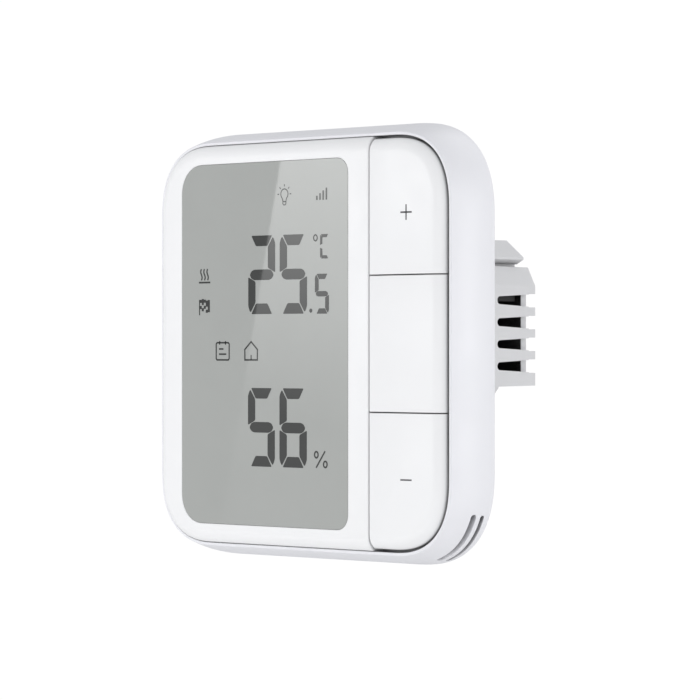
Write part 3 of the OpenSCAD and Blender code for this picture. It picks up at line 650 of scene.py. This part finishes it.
def key_cap(node, low, high):
    """One tile of the domed blank, hollow and open along the display side."""
    bm = domed_blank(key_inset, key_bottom)
    keep_side(bm, (low.x, 0, 0), (1, 0, 0))
    round_cut(bm, 0, low.x, key_bottom + 0.1, SEAM_ROUND)
    if node != "key_plus":
        keep_side(bm, (0, 0, high.z), (0, 0, -1))
        round_cut(bm, 2, high.z, key_bottom + 0.1, SPLIT_ROUND)
    if node != "key_minus":
        keep_side(bm, (0, 0, low.z), (0, 0, 1))
        round_cut(bm, 2, low.z, key_bottom + 0.1, SPLIT_ROUND)
    hollow(bm, KEY_WALL, key_under - key_bottom)
    key = make_piece("domed_" + node, bm)
    opening = box_between(bmesh.new(), (low.x - 1, low.x + KEY_WALL + 0.05), (key_bottom - 1, key_under),
                          (low.z + KEY_WALL, high.z - KEY_WALL))
    cut_out(key, opening)
    if node in mark_at:
        for cutter in key_mark(node, FACE + 1, FACE - MARK_DEEP):
            cut_out(key, cutter)
    round_edges(key, 0.05)
    return key


def hinge_barrel(node, middle):
    """A bored barrel round the hinge pin, with a web up to the key's face."""
    bm = bmesh.new()
    turned(bm, [(BORE_R, -BARREL_HALF), (BARREL_R, -BARREL_HALF), (BARREL_R, BARREL_HALF),
                (BORE_R, BARREL_HALF)], (hinge_x, hinge_depth, middle), (0, 0, 1))
    box_between(bm, (hinge_x - BARREL_R / 2, hinge_x + BARREL_R / 2),
                (BARREL_R * 0.8 - hinge_depth, key_under), (middle - BARREL_HALF, middle + BARREL_HALF))
    weld(bm)
    return make_piece("hinge_barrel_" + node, bm, 0.05)


def pusher(node, body, middle):
    """A turned pusher from the key's face down to its switch stem, measured from the ledge."""
    bm = bmesh.new()
    stem_top = -box_mm("switch_stem_" + body.split("_")[0])[0].y
    tip, foot = stem_top + PUSHER_GAP - LEDGE, key_under - LEDGE
    turned(bm, [(0, tip), (PUSHER_TIP_R, tip), (PUSHER_R, tip + 0.15), (PUSHER_R, 0.9), (0.7, 1.0),
                (PUSHER_FOOT_R, 1.05), (PUSHER_FOOT_R, foot), (0, foot)],
           (hinge_x + SWITCH_ARM, -LEDGE, middle), (0, -1, 0))
    weld(bm)
    return make_piece("pusher_" + node, bm)


for node, body in key_names.items():
    low, high = box_mm(node)
    middle = (low.z + high.z) / 2
    place(key_cap(node, low, high), key_white_gap_shaded, body, "cover_white", node)
    place(hinge_barrel(node, middle), finishes["cover_white"], body, "cover_white")
    place(pusher(node, body, middle), finishes["cover_white"], body, "cover_white")

# %% [markdown]
# ## The key symbols
# The plus and minus are shallow marks filled with grey paint. Thin bars lie at the bottom of
# their recesses, on their own keys.

# %% Paint in the marks
mark_grey = finish("mark_grey", (0.11, 0.11, 0.115), 0.5, tint=0.05, grain=3000, height=0.003)
for node in mark_at:
    for count, bm in enumerate(key_mark(node, FACE - 0.02, FACE - MARK_DEEP + 0.002)):
        mark = make_piece(f"mark_{node}_{count + 1}", bm)
        place(mark, mark_grey, key_names[node], "cover_white")

# %% [markdown]
# ## The display window
# The window is a flush lens with a hidden flange. Behind a reflective liquid crystal display
# lies a grey polariser, so the lens is given that grey and a clear, smooth coat that mirrors the
# softbox. It sits two hundredths below the cover, which leaves a crisp edge all round.

# %% The lens
LENS_TOP, LENS_GAP, FLANGE_T = FACE - 0.02, 0.06, 0.8
bm = window_slab(-LENS_GAP, LENS_TOP, FACE - COVER_FACE)
lens = make_piece("display_lens", bm, 0.04)
place(lens, finishes["display_lens"], "housing", "display_lens", "display_window")
bm = window_slab(FLANGE, -lens_high.y + FLANGE_T, -lens_high.y)
flange = make_piece("lens_flange", bm, 0.08)
place(flange, finishes["display_lens"], "housing", "display_lens")

# %% [markdown]
# ## Numbers on the display
# A liquid crystal number has seven segments. Here they are broad, with slanted joints, round
# outer corners and a middle segment shaped like a lens. Each segment is one flat face in a cell
# of 7.8 by 15.7, its corners are rounded by a vertex bevel, and the same set is scaled for the
# small digit. The unit's letter is drawn from segments of its own.

# %% Seven segments
CELL_W, CELL_H, STROKE = 7.76, 15.7, 2.12
BAR_OUT, BAR_IN = 0.9, 2.22
INK_TOP, INK_T = LENS_TOP + 0.016, 0.012


def turn_half(points):
    """The same segment after half a turn of the figure."""
    return [(CELL_W - x, CELL_H - y) for x, y in points]


def flip_x(points):
    """The same segment on the figure's other side."""
    return [(CELL_W - x, y) for x, y in reversed(points)]


top_bar = [(BAR_OUT, CELL_H), (CELL_W - BAR_OUT, CELL_H), (CELL_W - BAR_IN, CELL_H - STROKE),
           (BAR_IN, CELL_H - STROKE)]
upper_right = [(CELL_W - BAR_OUT + 0.2, CELL_H - 0.32), (CELL_W - 0.35, CELL_H - 0.75),
               (CELL_W, CELL_H - 1.6), (CELL_W, CELL_H / 2 + 0.42), (CELL_W - STROKE + 0.02, CELL_H / 2 + 1.36),
               (CELL_W - STROKE + 0.02, CELL_H - STROKE - 0.16)]
middle_bar = [(0.42, CELL_H / 2), (0.95, CELL_H / 2 + 0.78), (1.75, CELL_H / 2 + 1.06)]
middle_bar += [(CELL_W - x, y) for x, y in reversed(middle_bar)]
middle_bar += [(x, CELL_H - y) for x, y in reversed(middle_bar[1:-1])]
segment = {
    "a": top_bar, "b": upper_right, "g": middle_bar, "f": flip_x(upper_right),
    "d": turn_half(top_bar), "e": turn_half(upper_right), "c": flip_x(turn_half(upper_right)),
}
shown_segments = {"2": "abged", "5": "afgcd", "6": "afgecd"}


def ink_face(bm, points, place_at, scale, corner_round):
    """A flat face of ink on the display, with rounded corners."""
    verts = [bm.verts.new(Vector((place_at[0] + x * scale[0], -INK_TOP, place_at[1] + y * scale[1])) * MM)
             for x, y in points]
    face = bm.faces.new(verts)
    face.normal_update()
    if face.normal.y > 0:
        bmesh.ops.reverse_faces(bm, faces=[face])
    if corner_round:
        round_corners(bm, verts, corner_round, 0.5, 3)


def digit(bm, figure, left, bottom, scale=(1, 1)):
    """One figure of seven segments."""
    for name in shown_segments[figure]:
        ink_face(bm, segment[name], (left, bottom), scale, 0.28 * min(scale))


def ink_piece(name, bm):
    """Gives flat ink a thickness that is only just there."""
    bm.normal_update()
    bmesh.ops.solidify(bm, geom=bm.faces[:], thickness=INK_T * MM)
    bmesh.ops.recalc_face_normals(bm, faces=bm.faces)
    return place(make_piece(name, bm), ink, "housing", "display_lens")


ink = finish("display_ink", (0.024, 0.026, 0.024), 0.5, tint=0.03, grain=900, height=0.0002,
             Coat_Weight=1.0, Coat_Roughness=0.015, Coat_IOR=1.5, Specular_IOR_Level=0.1)
bm = bmesh.new()
digit(bm, "2", -13.42, 5.97)
digit(bm, "5", -4.36, 5.97)
digit(bm, "5", 5.60, 5.92, (0.505, 0.5))
ink_piece("temperature_digits", bm)
bm = bmesh.new()
digit(bm, "5", -13.5, -24.5)
digit(bm, "6", -4.42, -24.5)
ink_piece("humidity_digits", bm)

# %% [markdown]
# ## Icons on the display
# The small icons are plain line drawings: a lamp, a signal, heating, a flag, a calendar, a house,
# and the signs for degrees and per cent. Each is a chain of edges. An edge chain pulled into a
# strip and given a wall by solidify is a line of even width, with its corners mitred.

# %% Lines of even width
def line(bm, points, width, closed=False):
    """A line on the display through (x, z) points."""
    strip = bmesh.new()
    verts = [strip.verts.new(Vector((x, -INK_TOP, z)) * MM) for x, z in points]
    pairs = list(zip(verts, verts[1:])) + ([(verts[-1], verts[0])] if closed else [])
    edges = [strip.edges.new(pair) for pair in pairs]
    made = bmesh.ops.extrude_edge_only(strip, edges=edges)["geom"]
    below = [g for g in made if isinstance(g, bmesh.types.BMVert)]
    bmesh.ops.translate(strip, vec=(0, INK_T * MM, 0), verts=below)
    strip.normal_update()
    for vert in strip.verts:
        vert.co -= vert.normal * width * MM / 2
    bmesh.ops.solidify(strip, geom=strip.faces[:], thickness=-width * MM)
    bmesh.ops.recalc_face_normals(strip, faces=strip.faces)
    mesh = bpy.data.meshes.new("line")
    strip.to_mesh(mesh)
    strip.free()
    bm.from_mesh(mesh)
    bpy.data.meshes.remove(mesh)


def ring(centre, radius_x, radius_z, start=0, end=360, steps=24):
    """Points on an oval arc."""
    return [(centre[0] + radius_x * math.cos(math.radians(start + (end - start) * i / steps)),
             centre[1] + radius_z * math.sin(math.radians(start + (end - start) * i / steps)))
            for i in range(steps + (0 if end - start == 360 else 1))]


# %% The icons
def lamp_icon(bm, x=-3.02, z=29.75):
    """A bulb with its cap and five rays."""
    bulb = ring((x, z), 1.02, 1.02, -52, 232, 20)
    cap = [(x - 0.43, z - 1.4), (x - 0.43, z - 1.9), (x - 0.23, z - 2.15), (x + 0.23, z - 2.15),
           (x + 0.43, z - 1.9), (x + 0.43, z - 1.4)]
    line(bm, bulb + cap, 0.22, closed=True)
    line(bm, [(x - 0.43, z - 1.5), (x + 0.43, z - 1.5)], 0.22)
    for turn in range(0, 181, 45):
        way = Vector((math.cos(math.radians(turn)), math.sin(math.radians(turn))))
        line(bm, [(x + way.x * r, z + way.y * r) for r in (1.5, 1.95)], 0.22)


def signal_icon(bm, x=6.15, z=28.28):
    """Four upright bars, each taller than the last."""
    for count, tall in enumerate((0.85, 1.3, 1.85, 2.35)):
        line(bm, [(x + count * 0.88, z), (x + count * 0.88, z + tall)], 0.42)


def heating_icon(bm, x=-27.25, z=12.95):
    """Three waves of warm air over a plate."""
    for count in range(3):
        wave = [(x + count * 0.92 + 0.2 * math.sin(i * math.tau / 12), z + i * 0.19) for i in range(13)]
        line(bm, wave, 0.36)
    line(bm, [(x - 0.75, z - 0.45), (x + 2.65, z - 0.45)], 0.36)


def calendar_icon(bm, x=-20.925, z=-1.47):
    """A page with cut corners, two binding rings and two written lines."""
    half, cut, tall = 1.925, 0.25, 1.75
    line(bm, [(x - half, z + tall - 0.28), (x - half + cut, z + tall), (x + half - cut, z + tall),
              (x + half, z + tall - 0.28), (x + half, z - tall + 0.27), (x + half - cut, z - tall),
              (x - half + cut, z - tall), (x - half, z - tall + 0.27)], 0.34, closed=True)
    for binding in (-21.8, -20.1):
        line(bm, [(binding, 0.6), (binding, -0.15)], 0.3)
    line(bm, [(-22.0, -1.0), (-20.7, -1.0)], 0.34)
    line(bm, [(-22.0, -2.05), (-19.85, -2.05)], 0.34)


def house_icon(bm, x=-12.6, z=-3.25):
    """A house with a pitched roof and a door."""
    half = 1.85
    line(bm, [(x, z + 3.75), (x + half, z + 2.15), (x + half, z), (x - half, z), (x - half, z + 2.15)],
         0.34, closed=True)
    line(bm, [(x, z + 1.05), (x, z + 0.05)], 0.3)


bm = bmesh.new()
lamp_icon(bm)
signal_icon(bm)
heating_icon(bm)
line(bm, [(-27.8, 9.0), (-27.8, 5.85)], 0.3)
calendar_icon(bm)
house_icon(bm)
place(make_piece("display_icons", bm), ink, "housing", "display_lens")

# %% The flag, the signs and the decimal point
POINT_R, UNIT_ROUND = 0.42, 0.08
UNIT_LEFT, UNIT_LOW, UNIT_W, UNIT_H, UNIT_BAR = 7.05, 16.75, 2.2, 4.8, 0.64
PLAIN = (1, 1)


def flag_checks(bm, x=-27.75, z=9.0):
    """A waving flag of dark squares."""
    for row in range(4):
        for column in range(5):
            if (row + column) % 2 == 0 or row == 0 or column == 4:
                at = (x + column * 0.6, z - row * 0.62 + 0.16 * math.sin(column * 1.5))
                ink_face(bm, [(0, 0), (0, -0.64), (0.62, -0.64), (0.62, 0)], at, PLAIN, 0)


def unit_letter(bm):
    """The unit's letter: an upper half of two segments, and its mirror image below."""
    upper = [(0.25, UNIT_H), (UNIT_W, UNIT_H), (UNIT_W - 0.35, UNIT_H - UNIT_BAR), (0.62, UNIT_H - UNIT_BAR)]
    side = [(0, 2.65), (UNIT_BAR, 2.9), (UNIT_BAR, 4.2), (0.14, 4.7), (0, 4.4)]
    for points in (upper, side):
        for half in (points, [(x, UNIT_H - y) for x, y in points]):
            ink_face(bm, half, (UNIT_LEFT, UNIT_LOW), PLAIN, UNIT_ROUND)


bm = bmesh.new()
flag_checks(bm)
ink_face(bm, ring((4.45, 6.55), POINT_R, POINT_R, steps=20), (0, 0), PLAIN, 0)
unit_letter(bm)
ink_piece("display_marks", bm)
bm = bmesh.new()
line(bm, ring((5.75, 20.85), 0.5, 0.58), 0.3, closed=True)
line(bm, ring((6.0, -21.8), 0.5, 0.6), 0.36, closed=True)
line(bm, ring((8.5, -23.65), 0.5, 0.6), 0.36, closed=True)
line(bm, [(5.95, -24.35), (8.45, -21.05)], 0.36)
place(make_piece("display_signs", bm), ink, "housing", "display_lens")

# %% [markdown]
# ## The power unit and its terminals
# The grey unit behind the plate is nearly right in the part: a box with a slight draft, tapered
# vent slots and a shouldered terminal block. What the CAD faces lack is the small radius that a
# mould leaves on every edge. A copy of each mesh is merged, its flat faces are made whole again,
# and a Bevel modifier rounds its edges. Before that, a plane cuts each long upper edge of the
# unit back a little further, and the edges that it leaves get a larger radius. The unit's finish
# has painted shade deep in its slots, and the terminal block gets painted shade towards its foot,
# where it dips into the unit.

# %% Soften the mouldings behind the plate
def softened(node):
    """A copy of a CAD node with its flat faces made whole."""
    bm = bmesh.new()
    bm.from_mesh(frame["nodes"][node].data)
    bmesh.ops.remove_doubles(bm, verts=bm.verts, dist=0.002 * MM)
    bmesh.ops.dissolve_limit(bm, angle_limit=math.radians(1), verts=bm.verts, edges=bm.edges, delimit=set())
    return bm


def paint_shade_below(material, level, depth):
    """Paints shade into a finish below a height, where the piece dips into the unit."""
    tree = material.node_tree
    shader = tree.nodes["Principled BSDF"]
    coords = tree.nodes.new("ShaderNodeTexCoord")
    height = tree.nodes.new("ShaderNodeSeparateXYZ")
    tree.links.new(coords.outputs["Object"], height.inputs["Vector"])
    share = map_range(tree, height.outputs["Z"], (level - depth) * MM, level * MM, 0.02)
    shaded = multiply(tree, shader.inputs["Base Color"].links[0].from_socket, share)
    tree.links.new(shaded, shader.inputs["Base Color"])


UPPER_ROUND, CASE_ROUND, PLATE_ROUND = 1.1, 0.22, 0.15
_, pod_high = box_mm("pod_housing")
bm = softened("pod_housing")
for side in (-1, 1):
    rear_end = (side * (pod_high.x - 0.4), pod_high.y, pod_high.z - 4.2)
    keep_side(bm, rear_end, (-side * 0.886, -0.0168, -0.466))
long_edges = [e for e in bm.edges
              if all(abs(v.co.x / MM) > pod_high.x - 3.4 and v.co.z / MM > pod_high.z - 5.5 for v in e.verts)
              and abs(e.verts[0].co.y - e.verts[1].co.y) > 15 * MM]
print("long upper edges", len(long_edges))
bmesh.ops.bevel(bm, geom=long_edges, offset=UPPER_ROUND * MM, offset_type="OFFSET", affect="EDGES",
                segments=4, profile=0.5, material=-1, clamp_overlap=True)
case = make_piece("power_unit_case", bm, CASE_ROUND)
place(case, finishes["pod_grey"], "housing", "pod_grey", "pod_housing")
# The block's finish is the unit's grey with painted shade towards its foot.
block_grey_foot_shaded = finish("block_grey_foot_shaded", (0.64, 0.64, 0.65), 0.5, tint=0.015, grain=2400, height=0.012)
paint_shade_below(block_grey_foot_shaded, pod_high.z - 0.1, 0.8)
terminals = make_piece("wire_terminal_block", softened("terminal_block"), CASE_ROUND)
place(terminals, block_grey_foot_shaded, "housing", "pod_grey", "terminal_block")
base = make_piece("wall_base_plate", softened("base_plate"), PLATE_ROUND)
place(base, finishes["inner_white"], "housing", "inner_white", "base_plate")

# %% [markdown]
# ## The pieces that the CAD already gives
# Boards, screws, clamps and components are hidden or nearly so, and their CAD shapes are right.
# Each takes the finish of its own material slot.

# %% Dress the remaining nodes
for part in record["subparts"]:
    node = frame["nodes"][part["node"]]
    for held in node.material_slots:
        held.material = finishes[part["material_slot"]]
print("dressed", len(record["subparts"]), "CAD nodes")

# %% [markdown]
# ## Floor, light and camera
# The object hangs in the air as it would on a wall, in a bright white room, with a pale floor
# well below it. The camera sees a slightly brighter room than the one that lights the object.
# Four softboxes add shape: a large one low in front that mirrors nowhere, a tall one at the
# right for the flank, one high behind for the top, and a weak one low at the left.

# %% Floor
FLOOR_HALF, FLOOR_Z = 2.0, -0.4
bm = bmesh.new()
bmesh.ops.create_grid(bm, x_segments=1, y_segments=1, size=FLOOR_HALF)
bmesh.ops.translate(bm, vec=(0, 0, FLOOR_Z), verts=bm.verts)
floor = make_piece("studio_floor", bm)
floor.data.materials.append(finish("floor_paper", (0.82, 0.82, 0.82), 0.7, tint=0.01, grain=400, height=0.05))

# %% Camera
TURN = math.radians(44.786)
AIM_ACROSS, AIM_UP, EYE_AWAY, LENS_LENGTH = 2.1528, -1.2043, 691.54, 177.49
target = Vector((AIM_ACROSS * math.cos(TURN), AIM_ACROSS * math.sin(TURN), AIM_UP)) * MM
eye = target + Vector((math.sin(TURN), -math.cos(TURN), 0)) * EYE_AWAY * MM
camera_data = bpy.data.cameras.new("camera")
camera_data.sensor_width = 36
camera_data.lens = LENS_LENGTH
camera_data.clip_start = 0.01
camera = bpy.data.objects.new("camera", camera_data)
camera.location = eye
camera.rotation_euler = (target - eye).to_track_quat("-Z", "Y").to_euler()
scene.collection.objects.link(camera)
scene.camera = camera
scene.view_settings.view_transform = "Standard"
print("camera", [round(c, 3) for c in eye])

# %% Room light
ROOM_SEEN, ROOM_LIGHT = 1.02, 0.69
world = bpy.data.worlds.new("white_room")
scene.world = world
world.use_nodes = True
tree = world.node_tree
room = tree.nodes["Background"]
room.inputs["Color"].default_value = (1, 1, 1, 1)
room.inputs["Strength"].default_value = ROOM_SEEN
dim = tree.nodes.new("ShaderNodeBackground")
dim.inputs["Color"].default_value = (0.97, 0.98, 1, 1)
dim.inputs["Strength"].default_value = ROOM_LIGHT
seen = tree.nodes.new("ShaderNodeLightPath")
mix = tree.nodes.new("ShaderNodeMixShader")
tree.links.new(seen.outputs["Is Camera Ray"], mix.inputs["Fac"])
tree.links.new(dim.outputs["Background"], mix.inputs[1])
tree.links.new(room.outputs["Background"], mix.inputs[2])
tree.links.new(mix.outputs["Shader"], tree.nodes["World Output"].inputs["Surface"])
print("room", ROOM_SEEN, "seen and", ROOM_LIGHT, "as light")

# %% Softboxes
def softbox(name, centre, look_at, width, height, watts):
    """A rectangular softbox at a place, in metres, aimed at a point."""
    data = bpy.data.lights.new(name, "AREA")
    data.shape = "RECTANGLE"
    data.size, data.size_y, data.energy = width, height, watts
    lamp = bpy.data.objects.new(name, data)
    lamp.location = centre
    lamp.rotation_euler = (Vector(look_at) - Vector(centre)).to_track_quat("-Z", "Y").to_euler()
    scene.collection.objects.link(lamp)
    lamp.visible_camera = False
    return lamp


front = softbox("front_softbox", (-0.1, -1.45, -0.45), (0, 0, 0), 0.9, 0.9, 9.9)
front.visible_glossy = False
softbox("right_softbox", (1.25, 0.32, -0.15), (0.03, 0, 0), 0.5, 1.0, 7.0)
softbox("high_softbox", (0, 0.7, 1.0), (0, 0, 0), 0.8, 0.5, 1.6)
softbox("low_softbox", (-0.2, -0.5, -0.38), (0, 0, -0.03), 0.6, 0.4, 0.9)
print("softboxes set")

# %% [markdown]
# ## The softbox in the display
# The display is a flat mirror. Its mirror image of the camera is a point behind the glass, and
# a line from that point through a place on the display shows where the light seen there has to
# stand. Two such lines place the edge of a fifth softbox, so that its slanted edge crosses the
# display from the top down to the left. A gradient fades it downwards.

# %% Place the mirrored edge
mirror_depth = -LENS_TOP * MM
eye_image = Vector((eye.x, 2 * mirror_depth - eye.y, eye.z))


def behind(x, z, reach):
    """Where the light has to stand that the display shows at (x, z)."""
    spot = Vector((x * MM, mirror_depth, z * MM))
    return eye_image + (spot - eye_image) * reach


GLARE_REACH = 2.1
GLARE_W, GLARE_OVER, GLARE_WATTS = 0.34, 0.08, 1.5
top = behind(-4.1, 36.4, GLARE_REACH)
low = behind(-19.8, -30.0, GLARE_REACH)
right = behind(40.0, 36.4, GLARE_REACH)
print("edge", [round(c, 3) for c in top], [round(c, 3) for c in low])
along = (top - low).normalized()
across = right - top
across = (across - along * across.dot(along)).normalized()
top, low = top + along * GLARE_OVER, low - along * GLARE_OVER
data = bpy.data.lights.new("mirrored_softbox", "AREA")
data.shape = "RECTANGLE"
data.size, data.size_y, data.energy = GLARE_W, (top - low).length, GLARE_WATTS
lamp = bpy.data.objects.new("mirrored_softbox", data)
centre = (top + low) / 2 + across * GLARE_W / 2
toward = (Vector((0, mirror_depth, 0)) - centre).normalized()
normal = across.cross(along)
if normal.dot(-toward) < 0:
    normal = -normal
x_axis = along.cross(normal).normalized()
turn = Matrix((x_axis, along, normal)).transposed()
lamp.matrix_world = Matrix.Translation(centre) @ turn.to_4x4()
scene.collection.objects.link(lamp)
lamp.visible_camera = False
data.use_nodes = True
tree = data.node_tree
surface = tree.nodes.new("ShaderNodeNewGeometry")
share = tree.nodes.new("ShaderNodeSeparateXYZ")
tree.links.new(surface.outputs["Parametric"], share.inputs["Vector"])
fade = map_range(tree, share.outputs["Y"], 0.4, 0.9, 0.06)
tree.links.new(fade, tree.nodes["Emission"].inputs["Strength"])
